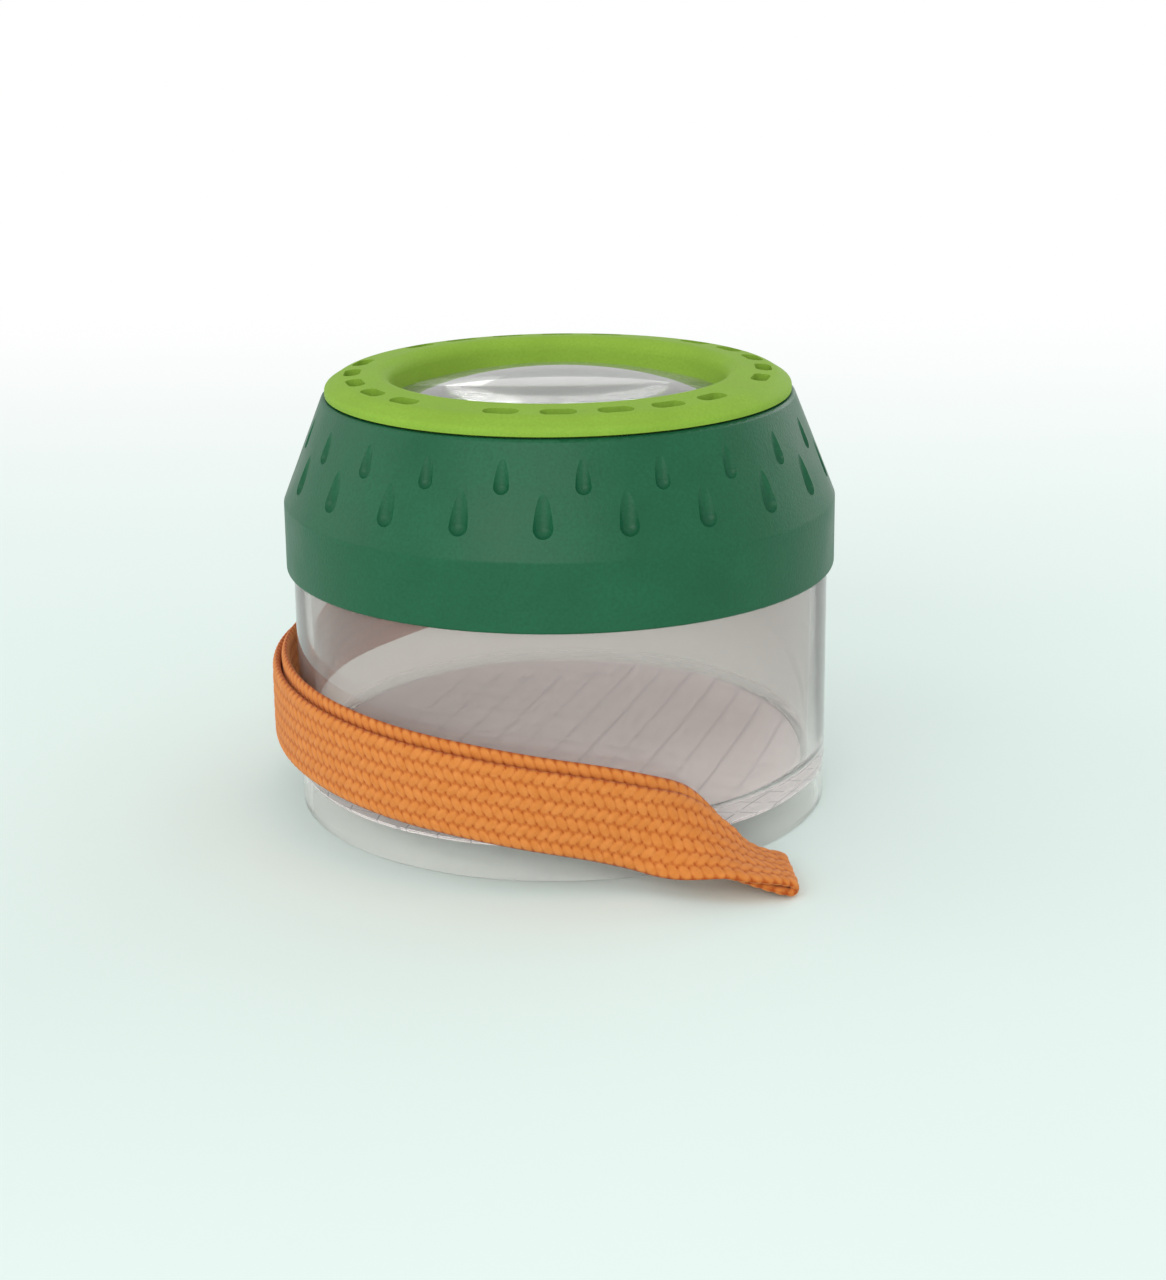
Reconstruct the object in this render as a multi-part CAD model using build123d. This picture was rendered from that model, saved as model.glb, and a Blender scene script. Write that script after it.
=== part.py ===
from build123d import *

import os
from math import atan2, cos, degrees, pi, radians, sin, sqrt

# Bug catcher jar: a clear jar with a raised floor, a screw lid that carries a magnifying lens,
# a vent ring that traps the lens, and a braided wrist strap looped round a lug on the lid.
# Millimetres, +Z up. The origin is the middle of the jar's foot, and the front faces -Y.
# Angles round the jar are in degrees from the front, and grow towards +X.

# Jar: a straight wall on a foot ring, with a raised floor and a narrower neck inside the lid
jar_radius = 39.0
jar_wall = 1.8
body_height = 37.4
foot_height = 5.0
floor_thickness = 1.8
floor_round = 2.5
shoulder_step = 2.4
shoulder_thickness = 2.0
neck_wall = 1.8
moulded_edge = 0.6

# Measuring disc under the floor
disc_thickness = 0.5
disc_clearance = 0.4

# Lens: a flat rim round two domes
lens_radius = 26.2
lens_rim_thickness = 2.0
lens_rim_width = 2.2
lens_top_curve = 110.0
lens_bottom_curve = 60.0
lens_side_clearance = 0.3
lens_play = 0.15

# Lid: a skirt over the neck, with a thin lip that laps the jar's shoulder, a cone above it,
# and a spoked top with the lens cup in its middle
lip_lap = 1.9
lip_clearance = 0.25
lip_round = 0.4
shoulder_gap = 0.3
thread_room = 1.4
lid_wall = 2.0
skirt_height = 9.8
cone_height = 15.1
top_thickness = 2.2
cup_wall = 1.4
cup_floor = 2.0
cup_depth = 3.4
cup_ledge = 1.8
spoke_width = 6.0

# Vent ring and the vents in it, with the lid's windows below them
ring_height = 1.3
ring_bevel_width = 2.2
ring_bevel_height = 1.4
ring_rise = 0.7
ring_shadow_gap = 0.3
ring_shadow_width = 1.0
ring_set_back = 0.4
ring_border = 2.8
ring_outer_round = 0.9
ring_bevel_round = 3.0
ring_inner_round = 1.9
ring_lip_width = 2.3
vent_width = 2.4
vent_length = 5.0
vent_margin = 0.5
vent_positions = 24
vent_groups = 4
vent_first_group = 15.0
window_margin = 0.3

# Grips on the cone: grooves with a round lower end, that run out into the cone at the top
grips_per_row = 21
grip_tilt = 10.0
grip_tool_length = 9.0
lower_grip_above_crease = 4.3
lower_grip_radius = 1.45
lower_grip_depth = 0.95
lower_grip_first = -3.3
upper_grip_above_crease = 9.4
upper_grip_radius = 1.15
upper_grip_depth = 0.75
upper_grip_first = 5.0

# Lug at the back of the skirt, with the slot and the bar that the strap goes round
lug_below_crease = 0.5
lug_thickness = 3.5
lug_root_width = 27.0
lug_end_width = 19.0
lug_corner = 2.2
slot_from_skirt = 2.0
slot_width = 4.5
slot_length = 14.7
bar_width = 5.5
bar_round = 1.2

# Wrist strap: a braid that lies doubled, from its eye round the bar to its folded end
strap_width = 13.0
strap_layer = 1.3
strap_eye_clearance = 0.3
strap_eye_drop = 3.2
strap_steps = 4
strap_lean_start = 12.5
strap_lean_end = 38.0

# Sizes that follow from those above
jar_bore = jar_radius - jar_wall
floor_top = foot_height + floor_thickness
neck_radius = jar_radius - shoulder_step
rim_height = body_height - lip_lap
seat_height = body_height + shoulder_gap
crease_height = rim_height + skirt_height
cone_top = crease_height + cone_height
lid_bore = neck_radius + thread_room
lid_radius = lid_bore + lid_wall
lip_bore = jar_radius + lip_clearance
pocket_radius = lens_radius + lens_side_clearance
cup_radius = pocket_radius + cup_wall
pocket_floor = cone_top - cup_depth
lens_base = pocket_floor + lens_play
lens_rim_top = lens_base + lens_rim_thickness
lens_dome_radius = lens_radius - lens_rim_width
ring_opening = pocket_radius - ring_lip_width
vent_circle = cup_radius + vent_margin + vent_width / 2
ring_radius = vent_circle + vent_width / 2 + ring_border
ring_edge_top = cone_top + ring_height
ring_bevel_top = ring_edge_top + ring_bevel_height
ring_bevel_inner = ring_radius - ring_bevel_width
ring_top = ring_bevel_top + ring_rise
cone_top_radius = ring_radius + ring_set_back
cone_slope = (lid_radius - cone_top_radius) / cone_height
cone_wall = lid_wall * sqrt(1 + cone_slope ** 2)
slot_inner = lid_radius + slot_from_skirt
bar_inner = slot_inner + slot_width
lug_reach = bar_inner + bar_width
lug_top = crease_height - lug_below_crease
bar_middle = bar_inner + bar_width / 2
bar_height = lug_top - lug_thickness / 2
strap_thickness = 2 * strap_layer

# The strap's middle line: angle round the jar, distance from its axis and height.
# It drops from the bar at the back, lies round the left side and the front, and ends on the table.
strap_route = [
    (-180.0, bar_middle, bar_height - bar_width / 2),
    (-179.0, bar_middle - 0.4, bar_height - 8.8),
    (-171.0, 46.9, 24.6),
    (-158.0, 44.4, 18.7),
    (-142.0, 43.1, 17.8),
    (-118.0, 42.7, 17.5),
    (-91.0, 42.6, 17.0),
    (-64.0, 42.6, 16.2),
    (-37.0, 42.6, 14.9),
    (-11.0, 42.6, 13.2),
    (12.0, 42.8, 10.4),
    (26.0, 45.2, 6.3),
    (34.5, 48.8, 2.1),
    (40.0, 51.6, 1.45),
]


def cone_radius(height):
    """Radius of the lid's cone, outside, at a height."""
    return lid_radius - cone_slope * (height - crease_height)


def inner_cone_height(radius):
    """Height at which the lid's cone has this radius on its inner side."""
    return crease_height + (lid_radius - cone_wall - radius) / cone_slope


def turned(points):
    """A solid of revolution about Z from a closed outline of (radius, height) points."""
    outline = Polyline([(radius, 0, height) for radius, height in points], close=True)
    return revolve(make_face(outline), Axis.Z)


def round_edges(shape, radius, height):
    """The circular edges of a turned shape at this radius and height."""
    found = []
    for edge in shape.edges().filter_by(GeomType.CIRCLE):
        if abs(edge.radius - radius) < 0.001 and abs(edge.arc_center.Z - height) < 0.001:
            found.append(edge)
    return found


def make_jar():
    neck_bore = neck_radius - neck_wall
    jar = turned([
        (jar_bore, 0),
        (jar_radius, 0),
        (jar_radius, body_height),
        (neck_radius, body_height),
        (neck_radius, crease_height),
        (neck_bore, crease_height),
        (neck_bore, body_height - shoulder_thickness),
        (jar_bore, body_height - shoulder_thickness),
        (jar_bore, floor_top),
        (0, floor_top),
        (0, foot_height),
        (jar_bore, foot_height),
    ])
    jar = fillet(round_edges(jar, jar_bore, floor_top), floor_round)
    moulded = round_edges(jar, jar_radius, 0) + round_edges(jar, jar_radius, body_height)
    moulded += round_edges(jar, neck_radius, crease_height) + round_edges(jar, neck_bore, crease_height)
    return fillet(moulded, moulded_edge)


def make_measuring_disc():
    radius = jar_bore - disc_clearance
    return turned([
        (0, foot_height - disc_thickness),
        (radius, foot_height - disc_thickness),
        (radius, foot_height),
        (0, foot_height),
    ])


def make_lens():
    def dome(curve, base, direction):
        """Arc from the dome's foot to its top, on the axis."""
        def point(radius):
            rise = sqrt(curve ** 2 - radius ** 2) - sqrt(curve ** 2 - lens_dome_radius ** 2)
            return (radius, 0, base + direction * rise)
        return ThreePointArc(point(lens_dome_radius), point(lens_dome_radius / 2), point(0))

    upper = dome(lens_top_curve, lens_rim_top, 1)
    lower = dome(lens_bottom_curve, lens_base, -1)
    rim = Polyline(
        lower @ 0,
        (lens_radius, 0, lens_base),
        (lens_radius, 0, lens_rim_top),
        upper @ 0,
    )
    axis_line = Line(upper @ 1, lower @ 1)
    return revolve(make_face([lower, rim, upper, axis_line]), Axis.Z)


def make_vent_ring():
    lip_radius = pocket_radius - lens_side_clearance
    lip_bottom = lens_rim_top + lens_play
    step_radius = ring_radius - ring_shadow_width
    ring = turned([
        (ring_opening, lip_bottom),
        (lip_radius, lip_bottom),
        (lip_radius, cone_top),
        (step_radius, cone_top),
        (step_radius, cone_top + ring_shadow_gap),
        (ring_radius, cone_top + ring_shadow_gap),
        (ring_radius, ring_edge_top),
        (ring_bevel_inner, ring_bevel_top),
        (ring_opening, ring_top),
    ])
    ring = fillet(round_edges(ring, ring_radius, ring_edge_top), ring_outer_round)
    ring = fillet(round_edges(ring, ring_bevel_inner, ring_bevel_top), ring_bevel_round)
    ring = fillet(round_edges(ring, ring_opening, ring_top), ring_inner_round)
    straight = degrees((vent_length - vent_width) / vent_circle)
    vent_line = CenterArc((0, 0), vent_circle, -90 - straight / 2, straight)
    vent = Pos(Z=cone_top) * extrude(SlotArc(vent_line, vent_width), 2 * (ring_top - cone_top), both=True)
    return ring - [Rot(Z=angle) * vent for angle in vent_angles()]


def vent_angles():
    """Angles of the vents: even steps, with one step left out between groups."""
    step = 360 / vent_positions
    per_group = vent_positions // vent_groups
    angles = []
    for group in range(vent_groups):
        middle = vent_first_group + group * 360 / vent_groups
        for place in range(per_group - 1):
            angles.append(middle + (place - (per_group - 2) / 2) * step)
    return angles


def make_lid_shell():
    seat_opening = pocket_radius - cup_ledge
    top_under = cone_top - top_thickness
    bore_top = inner_cone_height(lid_bore)
    lid = turned([
        (lip_bore, rim_height),
        (lid_radius, rim_height),
        (lid_radius, crease_height),
        (cone_top_radius, cone_top),
        (pocket_radius, cone_top),
        (pocket_radius, pocket_floor),
        (seat_opening, pocket_floor),
        (seat_opening, pocket_floor - cup_floor),
        (cup_radius, pocket_floor - cup_floor),
        (cup_radius, top_under),
        (cone_radius(top_under) - cone_wall, top_under),
        (lid_bore, bore_top),
        (lid_bore, seat_height),
        (lip_bore, seat_height),
    ])
    lid = fillet(round_edges(lid, lid_radius, rim_height), lip_round)
    edges = round_edges(lid, lid_radius, crease_height) + round_edges(lid, cone_top_radius, cone_top)
    lid = fillet(edges, moulded_edge)
    lid -= make_windows()
    lid += make_lug()
    lower = grip_row(lower_grip_above_crease, lower_grip_radius, lower_grip_depth, lower_grip_first)
    upper = grip_row(upper_grip_above_crease, upper_grip_radius, upper_grip_depth, upper_grip_first)
    return lid - (lower + upper)


def make_windows():
    """Arc-shaped air windows under the vents, with a spoke between each pair of groups."""
    outer = vent_circle + vent_width / 2 + window_margin
    inner = vent_circle - vent_width / 2 - window_margin
    band = Circle(outer) - Circle(inner)
    first_spoke = vent_first_group + 180 / vent_groups
    for spoke in range(vent_groups):
        angle = first_spoke + spoke * 360 / vent_groups
        band -= Rot(Z=angle) * Pos(Y=-vent_circle) * Rectangle(spoke_width, 2 * (outer - inner))
    return Pos(Z=cone_top) * extrude(band, 1.5 * top_thickness, both=True)


def make_lug():
    """Flat lug with gusseted sides, whose outer bar is rounded for the strap."""
    root = lid_radius - lid_wall / 2
    outline = Polyline(
        (-lug_root_width / 2, 0),
        (-lug_root_width / 2, root),
        (-lug_end_width / 2, bar_inner - bar_round),
        (-lug_end_width / 2, lug_reach),
        (lug_end_width / 2, lug_reach),
        (lug_end_width / 2, bar_inner - bar_round),
        (lug_root_width / 2, root),
        (lug_root_width / 2, 0),
        close=True,
    )
    plate = make_face(outline) - Circle(root)
    plate = fillet(plate.vertices().group_by(Axis.Y)[-1], lug_corner)
    plate -= Pos(Y=slot_inner + slot_width / 2) * Rectangle(slot_length, slot_width)
    lug = Pos(Z=lug_top - lug_thickness) * extrude(plate, lug_thickness)
    bar_edges = []
    for edge in lug.edges().filter_by(Axis.X):
        if edge.center().Y > bar_inner - 0.001:
            bar_edges.append(edge)
    return fillet(bar_edges, bar_round)


def grip_row(above_crease, radius, depth, first):
    """Tools for one row of grips: round-nosed rods that stand steeper than the cone."""
    nose = ThreePointArc((0, 0, -radius), (radius * sin(pi / 4), 0, -radius * cos(pi / 4)), (radius, 0, 0))
    sides = Polyline((radius, 0, 0), (radius, 0, grip_tool_length), (0, 0, grip_tool_length), (0, 0, -radius))
    rod = revolve(make_face([nose, sides]), Axis.Z)
    height = crease_height + above_crease
    off_cone = (radius - depth) * sqrt(1 + cone_slope ** 2)
    lean = radians(grip_tilt)
    place = Plane(
        origin=(0, -cone_radius(height) - off_cone, height),
        x_dir=(1, 0, 0),
        z_dir=(0, sin(lean), cos(lean)),
    )
    rod = place * rod
    return [Rot(Z=first + n * 360 / grips_per_row) * rod for n in range(grips_per_row)]


def strap_spans():
    """The strap's middle line as curves that run from the middle of one leg to the next."""
    points = []
    for angle, radius, height in strap_route:
        turn = radians(angle)
        points.append(Vector(radius * sin(turn), -radius * cos(turn), height))
    last = len(points) - 2
    spans = []
    for n in range(1, last + 1):
        start = points[0] if n == 1 else (points[n - 1] + points[n]) / 2
        end = points[-1] if n == last else (points[n] + points[n + 1]) / 2
        spans.append(Bezier(start, points[n], end))
    return spans


def strap_lean(angle):
    """How far the strap has laid itself down, from upright at 0 to flat at 90 degrees."""
    share = (angle - strap_lean_start) / (strap_lean_end - strap_lean_start)
    share = min(max(share, 0.0), 1.0)
    return radians(90 * share * share * (3 - 2 * share))


def strap_section(middle, heading):
    """Cross section of the doubled strap, square to its heading, with its flat side outwards."""
    angle = degrees(atan2(middle.X, -middle.Y))
    outwards = Vector(middle.X, middle.Y, 0).normalized()
    lean = strap_lean(angle)
    face_out = outwards * cos(lean) + Vector(0, 0, 1) * sin(lean)
    across = face_out.cross(heading).normalized()
    return Plane(origin=middle, x_dir=across, z_dir=heading) * Rectangle(strap_width, strap_thickness)


def make_wrist_strap():
    sections = []
    spans = strap_spans()
    for span in spans:
        for step in range(strap_steps):
            share = step / strap_steps
            sections.append(strap_section(span.position_at(share), span.tangent_at(share)))
    sections.append(strap_section(spans[-1].position_at(1), spans[-1].tangent_at(1)))
    band = loft(sections, ruled=True)
    print("strap length", round(sum(span.length for span in spans), 1), "volume", round(band.volume, 1))
    return band + make_strap_eye()


def make_strap_eye():
    """The strap's eye: one layer round the bar, closing to the doubled strap below it."""
    inner = RectangleRounded(
        bar_width + 2 * strap_eye_clearance,
        lug_thickness + 2 * strap_eye_clearance,
        bar_round + strap_eye_clearance,
    )
    outer = offset(inner, strap_layer)
    drop = Pos(Y=-lug_thickness / 2 - strap_layer - strap_eye_drop) * Rectangle(strap_thickness, strap_layer)
    profile = make_hull(outer.edges() + drop.edges()) - inner
    across = Plane(origin=(0, bar_middle, bar_height), x_dir=(0, 1, 0), z_dir=(1, 0, 0))
    return extrude(across * profile, strap_width / 2, both=True)


os.makedirs("parts", exist_ok=True)
pieces = {
    "jar": make_jar(),
    "measuring_disc": make_measuring_disc(),
    "lens": make_lens(),
    "lid_shell": make_lid_shell(),
    "vent_ring": make_vent_ring(),
    "wrist_strap": make_wrist_strap(),
}
for node, piece in pieces.items():
    export_step(piece, f"parts/{node}.step")
print("lid radius", lid_radius, "ring radius", ring_radius, "overall height", ring_top)
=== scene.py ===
from math import cos, pi, radians, sin

import bpy
import numpy as np
from mathutils import Matrix, Quaternion, Vector


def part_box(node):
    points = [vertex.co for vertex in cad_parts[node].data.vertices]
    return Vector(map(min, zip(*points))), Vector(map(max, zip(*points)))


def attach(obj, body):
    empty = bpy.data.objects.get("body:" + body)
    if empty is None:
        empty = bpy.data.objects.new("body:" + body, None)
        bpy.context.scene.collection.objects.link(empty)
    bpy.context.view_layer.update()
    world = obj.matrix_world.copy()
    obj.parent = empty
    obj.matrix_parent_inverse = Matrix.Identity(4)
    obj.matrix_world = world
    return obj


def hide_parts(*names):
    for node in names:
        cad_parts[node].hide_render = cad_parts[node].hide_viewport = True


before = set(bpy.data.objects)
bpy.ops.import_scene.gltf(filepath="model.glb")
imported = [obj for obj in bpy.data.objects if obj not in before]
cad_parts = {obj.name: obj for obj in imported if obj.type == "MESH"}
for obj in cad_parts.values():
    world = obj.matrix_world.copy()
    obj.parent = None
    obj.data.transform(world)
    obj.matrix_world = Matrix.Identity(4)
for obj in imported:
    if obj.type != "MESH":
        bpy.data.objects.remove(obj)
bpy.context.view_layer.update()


# Measuring disc: a thin white film, printed with a square grid and bonded under the jar's raised floor.
# It stays as the CAD node, and the print is in its finish. Its lines show through the lens from above.
grid_pitch = 0.005
grid_line = 0.00026
grid_turn = radians(20)
film_white = (0.95, 0.93, 0.92, 1)
film_shade = (0.91, 0.885, 0.88, 1)
ink_grey = (0.46, 0.46, 0.48, 1)


def put_node(tree, kind, inputs, **settings):
    """A node whose inputs are given as plain values or as the sockets that feed them."""
    node = tree.nodes.new(kind)
    for name, value in settings.items():
        setattr(node, name, value)
    for key, value in inputs.items():
        if isinstance(value, bpy.types.NodeSocket):
            tree.links.new(value, node.inputs[key])
        else:
            node.inputs[key].default_value = value
    return node


def new_finish(name, plain_values):
    """A material and its shader, with the values that are the same all over the surface."""
    finish = bpy.data.materials.new(name)
    finish.use_nodes = True
    shader = finish.node_tree.nodes["Principled BSDF"]
    for socket, value in plain_values.items():
        shader.inputs[socket].default_value = value
    return finish, shader


def finish_node(node, finish):
    """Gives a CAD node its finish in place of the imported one."""
    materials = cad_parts[node].data.materials
    materials.clear()
    materials.append(finish)


def ruled_line(tree, coordinate):
    """1 on lines that are one grid pitch apart along a coordinate, and 0 between them."""
    off_line = put_node(tree, "ShaderNodeMath", {0: coordinate, 1: grid_pitch / 2}, operation="PINGPONG")
    return put_node(tree, "ShaderNodeMath", {0: off_line.outputs[0], 1: grid_line / 2}, operation="LESS_THAN")


printed_film, shader = new_finish("printed_film", {"Roughness": 0.5, "IOR": 1.45})
tree = printed_film.node_tree
place = put_node(tree, "ShaderNodeTexCoord", {})
turned_place = put_node(tree, "ShaderNodeMapping", {
    "Vector": place.outputs["Object"],
    "Rotation": (0, 0, grid_turn),
})
axes = put_node(tree, "ShaderNodeSeparateXYZ", {"Vector": turned_place.outputs["Vector"]})
across_lines = ruled_line(tree, axes.outputs["X"])
along_lines = ruled_line(tree, axes.outputs["Y"])
lines = put_node(tree, "ShaderNodeMath", {
    0: across_lines.outputs[0],
    1: along_lines.outputs[0],
}, operation="MAXIMUM")
mottle = put_node(tree, "ShaderNodeTexNoise", {
    "Vector": place.outputs["Object"],
    "Scale": 120.0,
    "Detail": 3.0,
})
film = put_node(tree, "ShaderNodeMix", {
    "Factor": mottle.outputs["Fac"],
    "A": film_shade,
    "B": film_white,
}, data_type="RGBA")
printed = put_node(tree, "ShaderNodeMix", {
    "Factor": lines.outputs[0],
    "A": film.outputs["Result"],
    "B": ink_grey,
}, data_type="RGBA")
tree.links.new(printed.outputs["Result"], shader.inputs["Base Color"])
finish_node("measuring_disc", printed_film)


# Jar: a clear pot with a foot ring, a raised floor and a narrower neck for the screw lid, moulded in one
# shot of clear styrene, with the floor left satin. It replaces the CAD jar, which leaves out the two-start
# thread round the neck.
jar_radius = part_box("jar")[1].x
neck_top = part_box("jar")[1].z
jar_wall = 0.0018
jar_bore = jar_radius - jar_wall
film_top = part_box("measuring_disc")[1].z
film_bond = 0.0001
floor_under = film_top - film_bond
floor_top = film_top + jar_wall
shoulder = 0.0374
shoulder_thickness = 0.002
shoulder_under = shoulder - shoulder_thickness
neck_step = 0.0024
neck_radius = jar_radius - neck_step
neck_bore = neck_radius - jar_wall
floor_round = 0.0025
moulded_edge = 0.0006
round_steps = 144
thread_cuts = 44
thread_starts = 2
thread_sweep = 215
thread_lead = 0.0052
thread_above_shoulder = 0.0018
thread_first = shoulder + thread_above_shoulder
thread_half_width = 0.00105
thread_height = 0.00062
thread_run_out = 14
polished_roughness = 0.03
satin_roughness = 0.32
satin_reach = 0.0002


def turned(name, outline):
    """A closed piece, spun about Z from an outline of (radius, height) points."""
    bpy.ops.object.select_all(action="DESELECT")
    bpy.ops.mesh.primitive_circle_add(vertices=len(outline))
    piece = bpy.context.object
    piece.name = name
    for vertex, (radius, height) in zip(piece.data.vertices, outline):
        vertex.co = (radius, 0, height)
    bpy.ops.object.mode_set(mode="EDIT")
    bpy.ops.mesh.select_all(action="SELECT")
    bpy.ops.mesh.spin(steps=round_steps, angle=2 * pi, center=(0, 0, 0), axis=(0, 0, 1))
    bpy.ops.mesh.select_all(action="SELECT")
    bpy.ops.mesh.remove_doubles(threshold=1e-6)
    bpy.ops.mesh.delete_loose(use_verts=True, use_edges=True, use_faces=False)
    bpy.ops.mesh.select_all(action="SELECT")
    bpy.ops.mesh.normals_make_consistent(inside=False)
    bpy.ops.object.mode_set(mode="OBJECT")
    return piece


def select_edges(piece, wanted):
    """Selects the edges whose two ends, as (radius, height) pairs, are wanted, and starts edit mode."""
    bpy.ops.object.select_all(action="DESELECT")
    bpy.context.view_layer.objects.active = piece
    piece.select_set(True)
    bpy.ops.object.mode_set(mode="EDIT")
    bpy.ops.mesh.select_mode(type="EDGE")
    bpy.ops.mesh.select_all(action="DESELECT")
    bpy.ops.object.mode_set(mode="OBJECT")
    for edge in piece.data.edges:
        ends = [piece.data.vertices[n].co for n in edge.vertices]
        edge.select = wanted(*[(end.xy.length, end.z) for end in ends])
    bpy.ops.object.mode_set(mode="EDIT")


def near(value, other):
    return abs(value - other) < 1e-5


def round_ring(piece, radius, height, size):
    """Rounds the ring of edges at one radius and height."""
    def on_ring(first, second):
        return all(near(end[0], radius) and near(end[1], height) for end in (first, second))
    select_edges(piece, on_ring)
    bpy.ops.mesh.bevel(offset=size, segments=5, affect="EDGES")
    bpy.ops.object.mode_set(mode="OBJECT")


def raise_thread(piece, wall, direction, first_height):
    """Divides a straight round wall and pushes the thread's ridges out of it, outwards or inwards."""
    def up_the_wall(first, second):
        return near(first[0], wall) and near(second[0], wall) and abs(first[1] - second[1]) > 0.002
    select_edges(piece, up_the_wall)
    bpy.ops.mesh.subdivide(number_cuts=thread_cuts)
    bpy.ops.object.mode_set(mode="OBJECT")
    for vertex in piece.data.vertices:
        radius = vertex.co.xy.length
        if not near(radius, wall):
            continue
        turn = np.degrees(np.arctan2(vertex.co.x, -vertex.co.y))
        for start in range(thread_starts):
            along = (turn - start * 360 / thread_starts) % 360
            off_ridge = abs(vertex.co.z - first_height - thread_lead * along / 360) / thread_half_width
            run_out = min(along, thread_sweep - along) / thread_run_out
            if off_ridge < 1 and run_out > 0:
                rise = thread_height * cos(pi / 2 * off_ridge) ** 0.8 * min(run_out, 1)
                vertex.co.xy *= (radius + direction * rise) / radius


def smooth(piece, angle):
    """Smooth shading over edges that turn by less than an angle."""
    bpy.ops.object.select_all(action="DESELECT")
    bpy.context.view_layer.objects.active = piece
    piece.select_set(True)
    bpy.ops.object.shade_smooth_by_angle(angle=radians(angle))


jar = turned("jar_with_thread", [
    (0, floor_under),
    (jar_bore, floor_under),
    (jar_bore, 0),
    (jar_radius, 0),
    (jar_radius, shoulder),
    (neck_radius, shoulder),
    (neck_radius, neck_top),
    (neck_bore, neck_top),
    (neck_bore, shoulder_under),
    (jar_bore, shoulder_under),
    (jar_bore, floor_top),
    (0, floor_top),
])
round_ring(jar, jar_bore, floor_top, floor_round)
round_ring(jar, jar_radius, 0, moulded_edge)
round_ring(jar, jar_radius, shoulder, moulded_edge)
round_ring(jar, neck_radius, neck_top, moulded_edge)
round_ring(jar, neck_bore, neck_top, moulded_edge)
raise_thread(jar, neck_radius, 1, thread_first)
smooth(jar, 35)


def clear_finish(name, tints_and_shade, tint_and_shade_heights, plain_values, ripple_scale, ripple_depth, satin_between=(0, 0)):
    """Clear plastic that lets the lamps' light through, with faint ripples left by the mould.

    Its tint goes from one colour to another between two heights, which on the jar is painted light at the
    foot and painted shade towards the top. Between two more heights its surface is satin and not polished.
    """
    finish, shader = new_finish(name, plain_values)
    tree = finish.node_tree
    place = put_node(tree, "ShaderNodeTexCoord", {})
    flow = put_node(tree, "ShaderNodeTexNoise", {"Vector": place.outputs["Object"], "Scale": ripple_scale})
    axes = put_node(tree, "ShaderNodeSeparateXYZ", {"Vector": place.outputs["Object"]})
    light_and_shade_by_height = put_node(tree, "ShaderNodeMapRange", {
        "Value": axes.outputs["Z"],
        "From Min": tint_and_shade_heights[0],
        "From Max": tint_and_shade_heights[1],
    })
    colour = put_node(tree, "ShaderNodeMix", {
        "Factor": light_and_shade_by_height.outputs["Result"],
        "A": tints_and_shade[0],
        "B": tints_and_shade[1],
    }, data_type="RGBA")
    ripple = put_node(tree, "ShaderNodeBump", {
        "Height": flow.outputs["Fac"],
        "Strength": 1.0,
        "Distance": ripple_depth,
    })
    low, high = satin_between
    satin = put_node(tree, "ShaderNodeMath", {
        0: axes.outputs["Z"],
        1: (low + high) / 2,
        2: (high - low) / 2,
    }, operation="COMPARE")
    polish = put_node(tree, "ShaderNodeMapRange", {
        "Value": satin.outputs[0],
        "To Min": polished_roughness,
        "To Max": satin_roughness,
    })
    tree.links.new(colour.outputs["Result"], shader.inputs["Base Color"])
    tree.links.new(polish.outputs["Result"], shader.inputs["Roughness"])
    tree.links.new(ripple.outputs["Normal"], shader.inputs["Normal"])
    rays = put_node(tree, "ShaderNodeLightPath", {})
    open_way = put_node(tree, "ShaderNodeBsdfTransparent", {"Color": (0.98, 0.98, 0.98, 1)})
    lamp_or_sight = put_node(tree, "ShaderNodeMixShader", {
        0: rays.outputs["Is Shadow Ray"],
        1: shader.outputs["BSDF"],
        2: open_way.outputs["BSDF"],
    })
    tree.links.new(lamp_or_sight.outputs[0], tree.nodes["Material Output"].inputs["Surface"])
    return finish


# Painted light at the foot and painted shade under the lid: the jar's tint darkens from foot to top.
clear_styrene = clear_finish(
    "clear_styrene",
    tints_and_shade=((0.985, 0.94, 0.925, 1), (0.755, 0.695, 0.679, 1)),
    tint_and_shade_heights=(0.006, 0.020),
    plain_values={"IOR": 1.3, "Transmission Weight": 0.90},
    ripple_scale=45.0,
    ripple_depth=0.00006,
    satin_between=(floor_top - satin_reach, floor_top + satin_reach),
)
jar.data.materials.append(clear_styrene)
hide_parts("jar")
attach(jar, "jar")


# Lens: a clear magnifier with two domed faces and a thin flat rim, dropped into the cup in the lid's top.
# Moulded in acrylic and polished. It replaces the CAD lens, which is flatter above and deeper below.
lens_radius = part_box("lens")[1].x
lens_rim_low = 0.05715
lens_rim_thickness = 0.002
lens_rim_high = lens_rim_low + lens_rim_thickness
lens_dome_radius = 0.025
lens_top_curve = 0.082
lens_bottom_curve = 0.160
dome_steps = 16


def domed_face(curve, rim, direction):
    """Outline of a domed face as (radius, height) points, from the axis to the rim."""
    points = []
    for step in range(dome_steps + 1):
        radius = lens_dome_radius * step / dome_steps
        rise = (curve ** 2 - radius ** 2) ** 0.5 - (curve ** 2 - lens_dome_radius ** 2) ** 0.5
        points.append((radius, rim + direction * rise))
    return points


under_face = domed_face(lens_bottom_curve, lens_rim_low, -1)
upper_face = domed_face(lens_top_curve, lens_rim_high, 1)
lens = turned("domed_lens", [
    *under_face,
    (lens_radius, lens_rim_low),
    (lens_radius, lens_rim_high),
    *reversed(upper_face),
])
smooth(lens, 30)
lens_acrylic = clear_finish(
    "lens_acrylic",
    tints_and_shade=((0.84, 0.85, 0.82, 1), (0.86, 0.87, 0.84, 1)),
    tint_and_shade_heights=(lens_rim_low, lens_rim_high),
    plain_values={"IOR": 1.49, "Transmission Weight": 0.88},
    ripple_scale=20.0,
    ripple_depth=0.00001,
)
lens.data.materials.append(lens_acrylic)
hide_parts("lens")
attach(lens, "lens")


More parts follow.
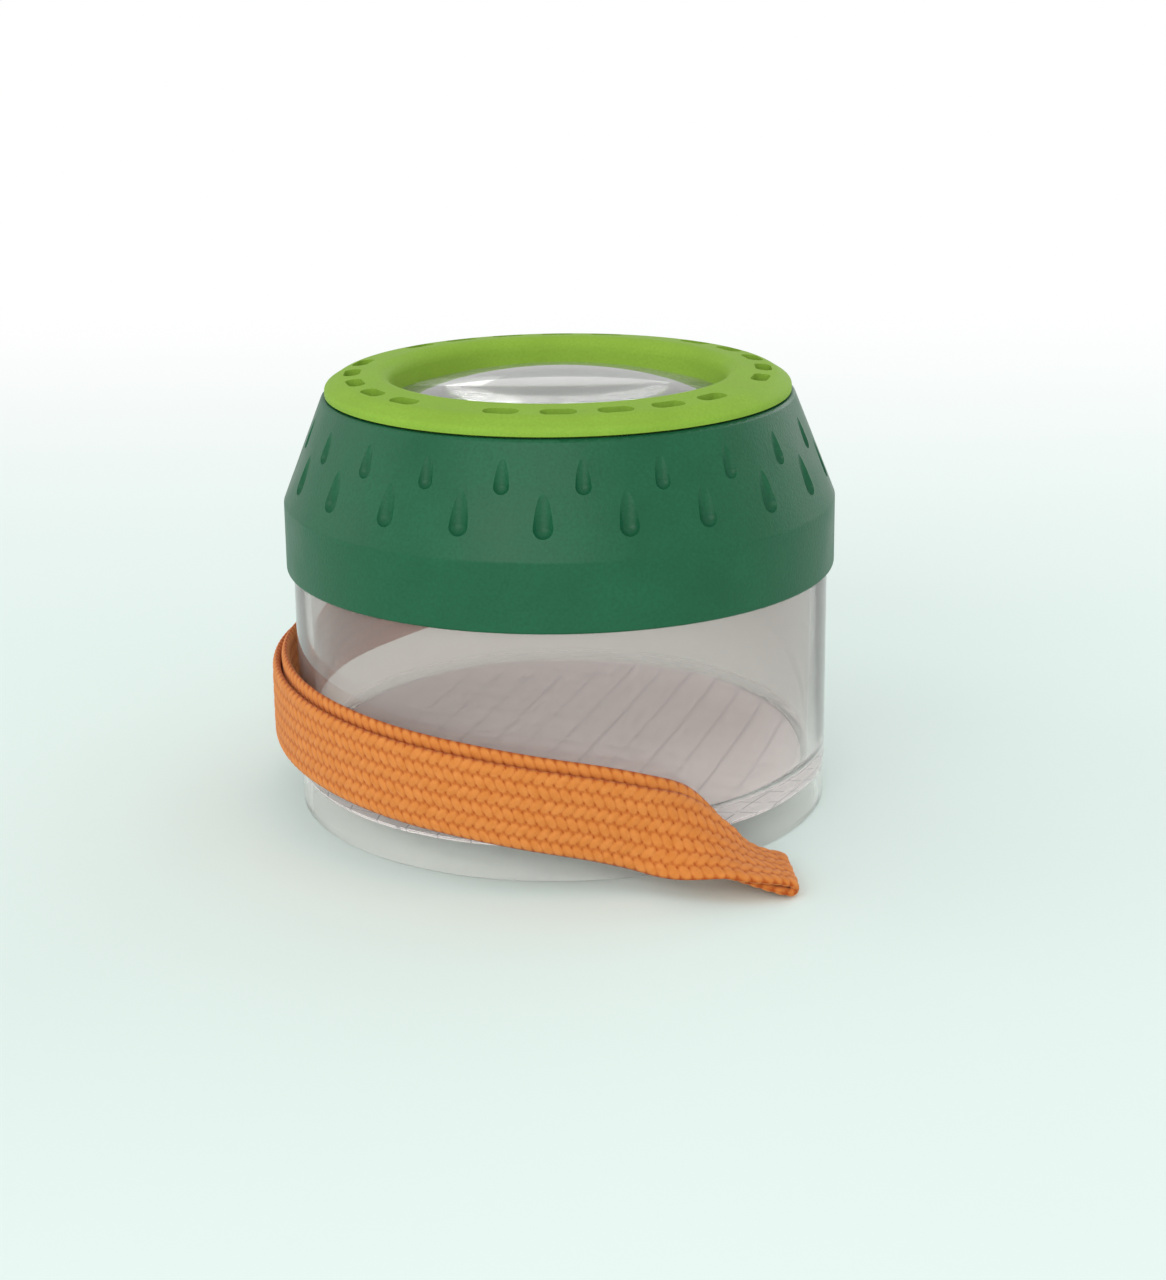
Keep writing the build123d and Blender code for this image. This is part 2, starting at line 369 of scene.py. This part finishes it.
# Vent ring: a lime ring snapped into the lid's top, which traps the lens and has four groups of air slots.
# Moulded with a satin grain. It stays as the CAD node.
lime = (0.262, 0.445, 0.056, 1)
lime_shade = (0.231, 0.392, 0.046, 1)


def moulded_grain_group():
    """Satin moulded plastic: a fine grain, soft clouds in the colour and a gloss that isn't quite even."""
    group = bpy.data.node_groups.new("moulded_grain", "ShaderNodeTree")
    sockets = group.interface
    sockets.new_socket("Colour", in_out="INPUT", socket_type="NodeSocketColor")
    sockets.new_socket("Shade", in_out="INPUT", socket_type="NodeSocketColor")
    sockets.new_socket("Grain Scale", in_out="INPUT", socket_type="NodeSocketFloat")
    sockets.new_socket("Least Roughness", in_out="INPUT", socket_type="NodeSocketFloat")
    sockets.new_socket("Most Roughness", in_out="INPUT", socket_type="NodeSocketFloat")
    sockets.new_socket("Colour", in_out="OUTPUT", socket_type="NodeSocketColor")
    sockets.new_socket("Roughness", in_out="OUTPUT", socket_type="NodeSocketFloat")
    sockets.new_socket("Height", in_out="OUTPUT", socket_type="NodeSocketFloat")
    given = put_node(group, "NodeGroupInput", {})
    place = put_node(group, "ShaderNodeTexCoord", {})
    grain = put_node(group, "ShaderNodeTexNoise", {
        "Vector": place.outputs["Object"],
        "Scale": given.outputs["Grain Scale"],
        "Detail": 2.0,
    })
    clouds = put_node(group, "ShaderNodeTexNoise", {
        "Vector": place.outputs["Object"],
        "Scale": 110.0,
        "Detail": 4.0,
    })
    speck = put_node(group, "ShaderNodeMath", {
        0: grain.outputs["Fac"],
        1: clouds.outputs["Fac"],
    }, operation="MULTIPLY")
    spread = put_node(group, "ShaderNodeMapRange", {
        "Value": speck.outputs[0],
        "From Min": 0.12,
        "From Max": 0.4,
    })
    colour = put_node(group, "ShaderNodeMix", {
        "Factor": spread.outputs["Result"],
        "A": given.outputs["Shade"],
        "B": given.outputs["Colour"],
    }, data_type="RGBA")
    gloss = put_node(group, "ShaderNodeMapRange", {
        "Value": clouds.outputs["Fac"],
        "From Min": 0.3,
        "From Max": 0.7,
        "To Min": given.outputs["Least Roughness"],
        "To Max": given.outputs["Most Roughness"],
    })
    put_node(group, "NodeGroupOutput", {
        "Colour": colour.outputs["Result"],
        "Roughness": gloss.outputs["Result"],
        "Height": grain.outputs["Fac"],
    })
    return group


moulded_grain = moulded_grain_group()


def moulded_finish(name, colour, shade, grain_scale, grain_depth, roughness, shine):
    """A coloured satin plastic with the moulded grain in it."""
    finish, shader = new_finish(name, {"IOR": 1.5, "Specular IOR Level": shine})
    tree = finish.node_tree
    grain = put_node(tree, "ShaderNodeGroup", {}, node_tree=moulded_grain)
    given = zip(["Colour", "Shade", "Grain Scale", "Least Roughness", "Most Roughness"],
                [colour, shade, grain_scale, *roughness])
    for socket, value in given:
        grain.inputs[socket].default_value = value
    bump = put_node(tree, "ShaderNodeBump", {
        "Height": grain.outputs["Height"],
        "Strength": 1.0,
        "Distance": grain_depth,
    })
    tree.links.new(grain.outputs["Colour"], shader.inputs["Base Color"])
    tree.links.new(grain.outputs["Roughness"], shader.inputs["Roughness"])
    tree.links.new(bump.outputs["Normal"], shader.inputs["Normal"])
    return finish


lime_satin = moulded_finish("lime_satin", lime, lime_shade, 2600.0, 0.00003, (0.48, 0.58), 0.04)
finish_node("vent_ring", lime_satin)


# Lid: a dark green screw cap with two rows of finger grips on its cone and a lug for the strap at the back.
# Moulded with the same satin grain. It stays as the CAD node.
lid_green = (0.010, 0.112, 0.049, 1)
lid_shade = (0.007, 0.090, 0.038, 1)
green_satin = moulded_finish("green_satin", lid_green, lid_shade, 2300.0, 0.00004, (0.36, 0.48), 0.25)
finish_node("lid_shell", green_satin)


# Lid thread: the two ridges inside the skirt that run on the neck's thread, on a skin that lines the bore.
# In the real lid they are one moulding with the skirt, in the same green.
lid_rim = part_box("lid_shell")[0].z
thread_room = 0.0014
lid_bore = neck_radius + thread_room
liner_sunk = 0.0002
liner_proud = 0.00004
liner_start = 0.0026
liner_end = 0.0094
ridge_drop = 0.0001
liner_outside = lid_bore + liner_sunk
liner_inside = lid_bore - liner_proud
liner_low = lid_rim + liner_start
liner_high = lid_rim + liner_end
lid_thread_first = thread_first - ridge_drop + thread_lead / 4
lid_thread = turned("lid_thread", [
    (liner_outside, liner_low),
    (liner_outside, liner_high),
    (liner_inside, liner_high),
    (liner_inside, liner_low),
])
raise_thread(lid_thread, liner_inside, -1, lid_thread_first)
smooth(lid_thread, 35)
lid_thread.data.materials.append(green_satin)
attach(lid_thread, "lid")


# Wrist strap: a closed loop of flat orange braid that goes round the lug's bar and lies doubled, with the
# inner layer a little higher than the outer one. Six rows of plump slanted stitches make the braid.
strap_width = 0.0116
strap_layer = 0.0013
layer_gap = 0.00004
layer_shift = 0.0007
shift_in_over = 0.03
shift_out_over = 0.008
bar_middle = Vector((0, 0.04925, 0.04305))
bar_half_width = 0.00275
bar_half_height = 0.00175
bar_to_braid = 0.001
eye_drop = 0.0066
eye_lead = 0.001
eye_close = 0.00015
level_by = 0.3
strap_route = [
    (-180.0, 0.04925, 0.0403),
    (-179.0, 0.04885, 0.03425),
    (-171.0, 0.0469, 0.0246),
    (-158.0, 0.0444, 0.0187),
    (-142.0, 0.0431, 0.0178),
    (-118.0, 0.0427, 0.0175),
    (-91.0, 0.0426, 0.0170),
    (-64.0, 0.0426, 0.0162),
    (-37.0, 0.0426, 0.0149),
    (-11.0, 0.0426, 0.0132),
    (12.0, 0.0428, 0.0104),
    (26.0, 0.0452, 0.0063),
    (33.0, 0.0482, 0.0022),
    (36.5, 0.0500, 0.00145),
]
lean_start = 12.5
lean_end = 35.0
rows = 6
points_per_row = 6
bared_edge = 0.0021
points_bared = 7
points_hidden = 3
braid_stations = 1770
stitch_target = 0.00144
stitch_turn = radians(50)
stitch_half_length = 0.00132
stitch_half_width = 0.00069
stitch_relief = 0.00034


def spline_points(name, controls, resolution):
    """Points along a smooth NURBS line through space with these control points."""
    curve = bpy.data.curves.new(name, "CURVE")
    curve.dimensions = "3D"
    spline = curve.splines.new("NURBS")
    spline.points.add(len(controls) - 1)
    for point, control in zip(spline.points, controls):
        point.co = (*control, 1)
    spline.order_u = 3
    spline.use_endpoint_u = True
    spline.resolution_u = resolution
    holder = bpy.data.objects.new(name, curve)
    line = bpy.data.meshes.new_from_object(holder)
    points = np.array([vertex.co for vertex in line.vertices])
    bpy.data.objects.remove(holder)
    bpy.data.meshes.remove(line)
    return points


def unit(vectors):
    return vectors / np.linalg.norm(vectors, axis=-1, keepdims=True)


route_points = []
for angle, radius, height in strap_route:
    route_points.append((radius * sin(radians(angle)), -radius * cos(radians(angle)), height))
middle_line = spline_points("strap_route", route_points, 48)
heading = unit(np.gradient(middle_line, axis=0))
turns = np.degrees(np.arctan2(middle_line[:, 0], -middle_line[:, 1]))
turns = np.where(turns > 150, turns - 360, turns)
share = np.clip((turns - lean_start) / (lean_end - lean_start), 0, 1)
lean = pi / 2 * share * share * (3 - 2 * share)
upwards = np.array([0, 0, 1.0])
outwards = unit(middle_line * [1, 1, 0])
face_out = outwards * np.cos(lean)[:, None] + upwards * np.sin(lean)[:, None]
across = unit(np.cross(face_out, heading))
face_out = np.cross(heading, across)

# The loop runs from the folded end up the outer layer, round the bar, down the inner layer and round
# the fold.
doubled = middle_line[:, 2] < bar_middle.z - eye_drop
doubled[np.argmax(doubled):] = True
run, run_across, run_out, run_heading = [part[doubled] for part in (middle_line, across, face_out, heading)]
half_layer = strap_layer / 2 + layer_gap / 2
run_along = np.concatenate([[0], np.cumsum(np.linalg.norm(np.diff(run, axis=0), axis=1))])
shift_in = np.clip(run_along / shift_in_over, 0, 1)
shift_out = np.clip((run_along[-1] - run_along) / shift_out_over, 0, 1)
shift = layer_shift * shift_in ** 2 * (3 - 2 * shift_in) * shift_out ** 2 * (3 - 2 * shift_out)
outer_run = run + run_out * half_layer - run_across * shift[:, None]
inner_run = run - run_out * half_layer + run_across * shift[:, None]
bar_out = np.array([0, bar_half_width + bar_to_braid, 0])
bar_up = np.array([0, 0, bar_half_height + bar_to_braid])
bar_down = np.array([0, 0, bar_half_height - eye_close])
bar_point = np.array(bar_middle)
eye = spline_points("strap_eye", [
    outer_run[0],
    outer_run[0] - run_heading[0] * eye_lead,
    bar_point + bar_out - bar_down,
    bar_point + bar_out + bar_up,
    bar_point - bar_out + bar_up,
    bar_point - bar_out - bar_down,
    inner_run[0] - run_heading[0] * eye_lead,
    inner_run[0],
], 24)
round_eye = np.linspace(0, 1, len(eye))
on_bar = np.clip(np.minimum(round_eye, 1 - round_eye) / level_by, 0, 1)[:, None]
on_bar = on_bar ** 2 * (3 - 2 * on_bar)
bar_across = np.array([-1.0, 0, 0])
eye_across = unit(run_across[:1] * (1 - on_bar) + bar_across * on_bar)
fold_turn = np.linspace(0, pi, 24)[:, None]
fold = run[-1] + half_layer * (np.sin(fold_turn) * run_heading[-1] - np.cos(fold_turn) * run_out[-1])
loop = np.vstack([outer_run[::-1], eye[1:-1], inner_run, fold[1:]])
loop_across = np.vstack([
    run_across[::-1],
    eye_across[1:-1],
    run_across,
    np.repeat(run_across[-1:], len(fold) - 1, axis=0),
])
distance = np.concatenate([[0], np.cumsum(np.linalg.norm(np.diff(loop, axis=0), axis=1))])
loop_length = distance[-1]
station = np.linspace(0, loop_length, braid_stations, endpoint=False)
loop = np.stack([np.interp(station, distance, loop[:, n]) for n in range(3)], axis=1)
loop_across = np.stack([np.interp(station, distance, loop_across[:, n]) for n in range(3)], axis=1)
travel = unit(np.roll(loop, -1, axis=0) - np.roll(loop, 1, axis=0))
loop_across = unit(loop_across - travel * np.sum(travel * loop_across, axis=1, keepdims=True))
loop_out = np.cross(loop_across, travel)

row_pitch = strap_width / rows
stitch_pitch = loop_length / round(loop_length / stitch_target)


def braid_crown(along, over):
    """How high a place on the braid's face is: 1 on top of a stitch, and 0 where no stitch covers it."""
    crown = np.zeros_like(over)
    own_row = np.floor((over + strap_width / 2) / row_pitch)
    for beside in (-1, 0, 1):
        row = own_row + beside
        slant = np.where(row % 2 == 0, 1, -1)
        off_row = over + strap_width / 2 - (row + 0.5) * row_pitch
        stagger = 0.5 * (row % 2)
        nearest = np.round((along - slant * off_row / np.tan(stitch_turn)) / stitch_pitch - stagger)
        for next_one in (-1, 0, 1):
            off_stitch = along - (nearest + next_one + stagger) * stitch_pitch
            lengthwise = off_stitch * cos(stitch_turn) + slant * off_row * sin(stitch_turn)
            crosswise = off_row * cos(stitch_turn) - slant * off_stitch * sin(stitch_turn)
            dome = 1 - (lengthwise / stitch_half_length) ** 2 - (crosswise / stitch_half_width) ** 2
            dome = np.where((row >= 0) & (row < rows), dome, 0)
            crown = np.maximum(crown, np.sqrt(np.maximum(dome, 0)))
    return crown


top_points = rows * points_per_row + 1
over_top = np.linspace(-strap_width / 2, strap_width / 2, top_points)
bared = np.linspace(strap_width / 2, strap_width / 2 - bared_edge, points_bared + 1)[1:]
hidden = np.linspace(bared[-1], -bared[-1], points_hidden + 2)[1:-1]
over = np.concatenate([over_top, bared, hidden, -bared[::-1]])
section_points = len(over)
along_grid, over_grid = np.meshgrid(station, over, indexing="ij")
crown = braid_crown(along_grid, over_grid)
on_top = np.arange(section_points) < top_points
edge = (1 - np.abs(2 * over / strap_width) ** 10) ** 0.5
base = strap_layer / 2 - stitch_relief
rise = np.where(on_top, 1, -1) * edge * (base + stitch_relief * crown)
surface = loop[:, None] + loop_across[:, None] * over_grid[..., None] + loop_out[:, None] * rise[..., None]

bpy.ops.object.select_all(action="DESELECT")
bpy.ops.mesh.primitive_grid_add(x_subdivisions=section_points, y_subdivisions=braid_stations)
strap = bpy.context.object
strap.name = "braided_strap"
closed = np.pad(surface, ((0, 1), (0, 1), (0, 0)), mode="wrap")
strap.data.vertices.foreach_set("co", closed.astype(np.float32).ravel())
crown_layer = strap.data.attributes.new("crown", "FLOAT", "POINT")
crown_layer.data.foreach_set("value", np.pad(crown, ((0, 1), (0, 1)), mode="wrap").astype(np.float32).ravel())
bpy.ops.object.mode_set(mode="EDIT")
bpy.ops.mesh.select_all(action="SELECT")
bpy.ops.mesh.remove_doubles(threshold=1e-6)
bpy.ops.mesh.normals_make_consistent(inside=False)
bpy.ops.object.mode_set(mode="OBJECT")
bpy.ops.object.shade_smooth()

stitch_orange = (0.56, 0.165, 0.022, 1)
stitch_pale = (0.77, 0.29, 0.075, 1)
# The darker red is painted shade for the grooves between the stitches.
groove_shade_red = (0.42, 0.075, 0.009, 1)
braid_finish, shader = new_finish("orange_braid", {
    "Roughness": 0.9,
    "Sheen Weight": 0.1,
    "Specular IOR Level": 0.2,
})
tree = braid_finish.node_tree
place = put_node(tree, "ShaderNodeTexCoord", {})
height = put_node(tree, "ShaderNodeAttribute", {}, attribute_name="crown")
yarn = put_node(tree, "ShaderNodeTexNoise", {
    "Vector": place.outputs["Object"],
    "Scale": 900.0,
    "Detail": 3.0,
})
fibre = put_node(tree, "ShaderNodeTexNoise", {
    "Vector": place.outputs["Object"],
    "Scale": 7000.0,
    "Detail": 2.0,
})
stitch_colour = put_node(tree, "ShaderNodeMix", {
    "Factor": yarn.outputs["Fac"],
    "A": stitch_orange,
    "B": stitch_pale,
}, data_type="RGBA")
# Painted shade: the braid turns the darker red where its crown is low, between the stitches.
depth = put_node(tree, "ShaderNodeMapRange", {
    "Value": height.outputs["Fac"],
    "From Min": 0.05,
    "From Max": 0.75,
})
braid_colour = put_node(tree, "ShaderNodeMix", {
    "Factor": depth.outputs["Result"],
    "A": groove_shade_red,
    "B": stitch_colour.outputs["Result"],
}, data_type="RGBA")
fuzz = put_node(tree, "ShaderNodeBump", {
    "Height": fibre.outputs["Fac"],
    "Strength": 1.0,
    "Distance": 0.00006,
})
tree.links.new(braid_colour.outputs["Result"], shader.inputs["Base Color"])
tree.links.new(fuzz.outputs["Normal"], shader.inputs["Normal"])
strap.data.materials.append(braid_finish)
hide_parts("wrist_strap")
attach(strap, "lid")


# Strap seam: a box with a cross in it, sewn through both layers below the eye with a heavy twisted thread.
# One stitch is shaped, and copied along the seam on the outer and the inner face.
seam_top = 0.0025
seam_length = 0.0095
seam_half_width = 0.0042
seam_step = 0.00125
seam_stitch = Vector((0.0006, 0.00027, 0.00024))
seam_height = 0.00134
seam_orange = (0.60, 0.15, 0.02, 1)
seam_pale = (0.72, 0.22, 0.045, 1)
bpy.ops.object.select_all(action="DESELECT")
bpy.ops.mesh.primitive_uv_sphere_add(segments=8, ring_count=6, radius=1)
seam = bpy.context.object
seam.name = "strap_seam"
bpy.ops.object.mode_set(mode="EDIT")
bpy.ops.mesh.select_all(action="SELECT")
bpy.ops.transform.rotate(value=pi / 2, orient_axis="Y", center_override=(0, 0, 0))
bpy.ops.transform.resize(value=seam_stitch, center_override=(0, 0, 0))
bpy.ops.object.mode_set(mode="OBJECT")
bpy.ops.object.shade_smooth()


def on_run(values, along):
    return np.array([np.interp(along, run_along, values[:, n]) for n in range(3)])


def seam_places():
    """The frame of each stitch: along the seam, across it, out of the braid, and its middle."""
    corners = [(0, -1), (0, 1), (1, 1), (1, -1)]
    legs = [(0, 1), (1, 2), (2, 3), (3, 0), (0, 2), (1, 3)]
    places = []
    for face in (1, -1):
        for first, last in legs:
            ends = np.array([corners[first], corners[last]]) * [seam_length, seam_half_width]
            stitches = round(np.linalg.norm(ends[1] - ends[0]) / seam_step)
            for n in range(stitches):
                down, sideways = ends[0] + (ends[1] - ends[0]) * (n + 0.5) / stitches
                frame_axes = (run_heading, run_across, run_out)
                down_seam, over_seam, out = [on_run(axis, seam_top + down) for axis in frame_axes]
                along_leg = unit(down_seam * (ends[1] - ends[0])[0] + over_seam * (ends[1] - ends[0])[1])
                out = unit(out - along_leg * np.dot(out, along_leg)) * face
                middle = on_run(run, seam_top + down) + over_seam * sideways + out * seam_height
                places.append((along_leg, np.cross(out, along_leg), out, middle))
    return places


stitch_places = seam_places()
stitches = [seam]
for _ in stitch_places[1:]:
    stitch = seam.copy()
    stitch.data = seam.data.copy()
    bpy.context.scene.collection.objects.link(stitch)
    stitches.append(stitch)
for stitch, (*axes, middle) in zip(stitches, stitch_places):
    stitch.matrix_world = Matrix([[*axis, 0] for axis in axes] + [[*middle, 1]]).transposed()
    stitch.select_set(True)
bpy.context.view_layer.objects.active = seam
bpy.ops.object.join()
bpy.ops.object.transform_apply(location=True, rotation=True, scale=True)
seam_thread, shader = new_finish("seam_thread", {
    "Roughness": 0.7,
    "Sheen Weight": 0.2,
    "Specular IOR Level": 0.3,
})
tree = seam_thread.node_tree
place = put_node(tree, "ShaderNodeTexCoord", {})
twist = put_node(tree, "ShaderNodeTexWave", {
    "Vector": place.outputs["Object"],
    "Scale": 2200.0,
    "Distortion": 3.0,
}, bands_direction="DIAGONAL")
thread_colour = put_node(tree, "ShaderNodeMix", {
    "Factor": twist.outputs["Fac"],
    "A": seam_orange,
    "B": seam_pale,
}, data_type="RGBA")
ply = put_node(tree, "ShaderNodeBump", {"Height": twist.outputs["Fac"], "Strength": 1.0, "Distance": 0.00003})
tree.links.new(thread_colour.outputs["Result"], shader.inputs["Base Color"])
tree.links.new(ply.outputs["Normal"], shader.inputs["Normal"])
seam.data.materials.append(seam_thread)
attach(seam, "lid")


# Studio: a pale plain floor that fades to white far behind the jar, under an even white sky, with a large
# soft lamp low in front, a weaker one from the left and one behind.
floor_pale = (0.77, 0.885, 0.845, 1)
floor_shade = (0.76, 0.875, 0.835, 1)
floor_size = 24.0
fade_start = 0.05
fade_end = 0.45
lamp_target = Vector((0, 0, 0.03))
sky_strength = 0.80
bpy.ops.object.select_all(action="DESELECT")
bpy.ops.mesh.primitive_plane_add(size=floor_size)
floor = bpy.context.object
floor.name = "studio_floor"
floor_finish, shader = new_finish("studio_floor", {"Roughness": 0.8, "Specular IOR Level": 0.1})
tree = floor_finish.node_tree
place = put_node(tree, "ShaderNodeTexCoord", {})
axes = put_node(tree, "ShaderNodeSeparateXYZ", {"Vector": place.outputs["Object"]})
patches = put_node(tree, "ShaderNodeTexNoise", {"Vector": place.outputs["Object"], "Scale": 14.0})
floor_colour = put_node(tree, "ShaderNodeMix", {
    "Factor": patches.outputs["Fac"],
    "A": floor_shade,
    "B": floor_pale,
}, data_type="RGBA")
far_away = put_node(tree, "ShaderNodeMapRange", {
    "Value": axes.outputs["Y"],
    "From Min": fade_start,
    "From Max": fade_end,
}, interpolation_type="SMOOTHSTEP")
white = put_node(tree, "ShaderNodeEmission", {"Color": (1, 1, 1, 1), "Strength": 1.0})
faded = put_node(tree, "ShaderNodeMixShader", {
    0: far_away.outputs["Result"],
    1: shader.outputs["BSDF"],
    2: white.outputs["Emission"],
})
tree.links.new(floor_colour.outputs["Result"], shader.inputs["Base Color"])
tree.links.new(faded.outputs[0], tree.nodes["Material Output"].inputs["Surface"])
floor.data.materials.append(floor_finish)


def soft_lamp(name, place, size, power):
    """A rectangular soft lamp that points at the jar."""
    lamp_data = bpy.data.lights.new(name, "AREA")
    lamp_data.shape = "RECTANGLE"
    lamp_data.size, lamp_data.size_y = size
    lamp_data.energy = power
    lamp = bpy.data.objects.new(name, lamp_data)
    lamp.location = place
    lamp.rotation_mode = "QUATERNION"
    lamp.rotation_quaternion = (lamp_target - Vector(place)).to_track_quat("-Z", "Y")
    bpy.context.scene.collection.objects.link(lamp)


soft_lamp("front_lamp", (-0.25, -0.85, 0.42), (0.9, 0.5), 3.8)
soft_lamp("side_lamp", (-0.8, 0.1, 0.36), (0.5, 0.6), 0.8)
soft_lamp("back_lamp", (0.6, 0.6, 0.34), (0.9, 0.5), 1.9)
world = bpy.data.worlds.new("studio")
bpy.context.scene.world = world
world.use_nodes = True
sky = world.node_tree.nodes["Background"]
sky.inputs["Color"].default_value = (1, 1, 1, 1)
sky.inputs["Strength"].default_value = sky_strength


# Camera: at the photograph's height and angle, a little off centre and rolled as that view is.
camera_lens = 69.1
camera_sensor = 36
camera_shift = (0.0173, -0.0323)
camera_place = Vector((0, -0.3489, 0.1296))
camera_target = Vector((0, 0, 0.02897))
camera_roll = radians(-0.797)
camera_data = bpy.data.cameras.new("camera")
camera_data.sensor_width = camera_sensor
camera_data.lens = camera_lens
camera_data.shift_x, camera_data.shift_y = camera_shift
camera = bpy.data.objects.new("camera", camera_data)
camera.rotation_mode = "QUATERNION"
camera.location = camera_place
aim = (camera_target - camera_place).to_track_quat("-Z", "Y")
camera.rotation_quaternion = aim @ Quaternion((0, 0, 1), camera_roll)
bpy.context.scene.collection.objects.link(camera)
bpy.context.scene.camera = camera


bpy.context.scene.view_settings.view_transform = "Standard"
